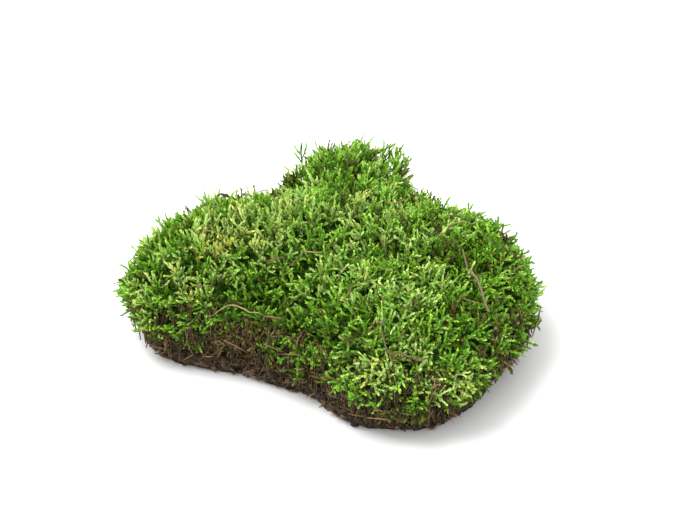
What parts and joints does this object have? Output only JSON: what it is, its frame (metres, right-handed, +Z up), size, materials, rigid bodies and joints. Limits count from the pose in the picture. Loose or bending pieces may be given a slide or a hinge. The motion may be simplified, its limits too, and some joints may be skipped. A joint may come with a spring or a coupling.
{
  "type": "clump of turf moss on its litter layer",
  "caption": "Low lumpy clump of green turf moss on a thin mat of brown litter, with dry stalks and twigs caught in it, cut flat below.",
  "frame": {"origin": "on the flat cut underside, at the middle of the clump's plan", "axes": "+Z up out of the moss, +Y along the clump's longest side, +X across it"},
  "size_m": [0.1657, 0.1945, 0.0694],
  "materials": {
    "moss_green": "fresh yellow-green leaves, matte with a faint damp sheen, brown on the old stems below",
    "litter": "matte dark brown humus, needles and dead stems",
    "dry_stalk": "dull brown dry stalk",
    "dry_straw": "pale dry grass, satin",
    "twig_bark": "matte grey-brown bark"
  },
  "bodies": {
    "root": {"moss_cushion": "moss_green", "litter_layer": "litter", "dry_stalk_right": "dry_stalk", "straw_right": "dry_straw", "straw_front_left": "dry_straw", "twig_back_left": "twig_bark", "twig_back_right": "twig_bark", "twig_front": "twig_bark"}
  },
  "joints": []
}
